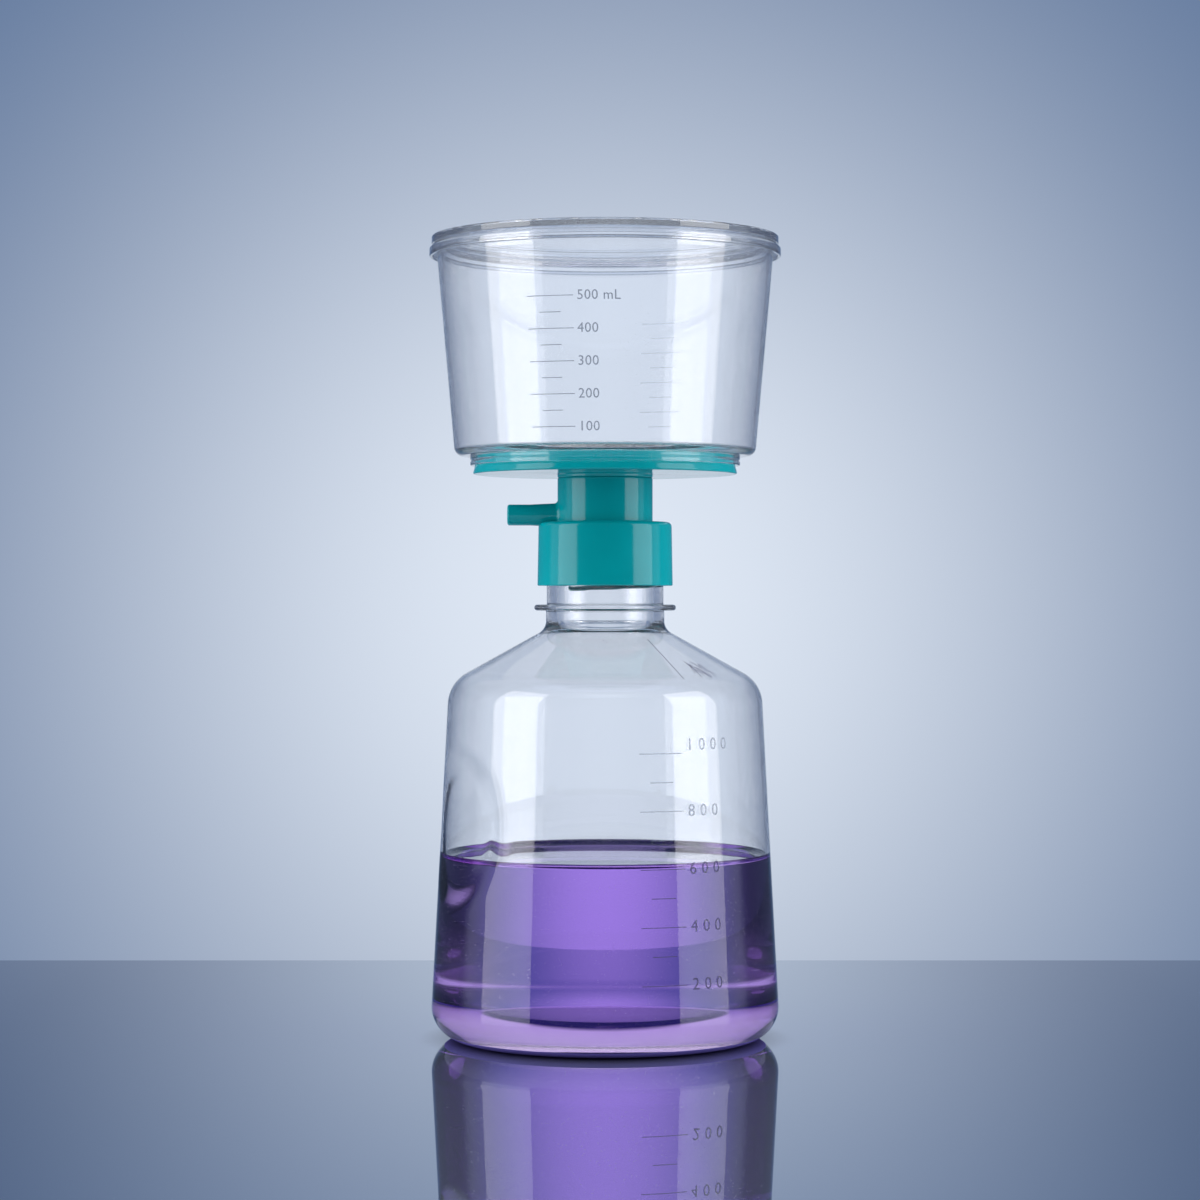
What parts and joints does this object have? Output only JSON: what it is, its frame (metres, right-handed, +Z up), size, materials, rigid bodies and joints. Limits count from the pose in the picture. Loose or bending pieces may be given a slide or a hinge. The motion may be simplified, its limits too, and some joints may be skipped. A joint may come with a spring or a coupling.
{
  "type": "vacuum filtration unit",
  "caption": "Clear lidded funnel on a membrane base plate, with a screw neck adapter and vacuum side arm, on a clear receiver bottle that holds violet filtrate.",
  "frame": {"origin": "centre of the ring that the bottle stands on, at the lowest point of the unit", "axes": "+Z up along the bottle's axis; the side arm points to -X; the graduations face -Y"},
  "size_m": [0.124, 0.124, 0.2823],
  "materials": {
    "clear_plastic": "clear glossy polystyrene, moulded, faintly blue-grey",
    "filtrate": "clear violet liquid",
    "teal_plastic": "opaque teal moulded plastic, satin gloss",
    "white_plastic": "white moulded plastic, matt",
    "membrane_film": "white porous film, matt",
    "gasket_rubber": "pale elastomer, matt",
    "plug_fibre": "white fibre wadding"
  },
  "bodies": {
    "bottle": {"bottle": "clear_plastic", "filtrate": "filtrate"},
    "gasket": {"neck_gasket": "gasket_rubber"},
    "filter_head": {"neck_adapter": "teal_plastic", "sidearm_plug": "plug_fibre", "base_plate": "teal_plastic", "support_plate": "white_plastic", "membrane": "membrane_film", "funnel": "clear_plastic"},
    "lid": {"lid": "clear_plastic"}
  },
  "joints": [
    {"name": "thread_rise", "type": "slide", "parent": "bottle", "child": "gasket", "axis": [0, 0, 1], "range_m": [0, 0.015]},
    {"name": "thread_turn", "type": "hinge", "parent": "gasket", "child": "filter_head", "pos_m": [0, 0, 0.1799], "axis": [0, 0, 1], "range_deg": [0, 1080]},
    {"name": "lid_lift", "type": "slide", "parent": "filter_head", "child": "lid", "axis": [0, 0, 1], "range_m": [0, 0.02]}
  ],
  "couplings": [
    {"joint": "thread_rise", "follows": "thread_turn", "m_per_rad": 0.00079577}
  ]
}
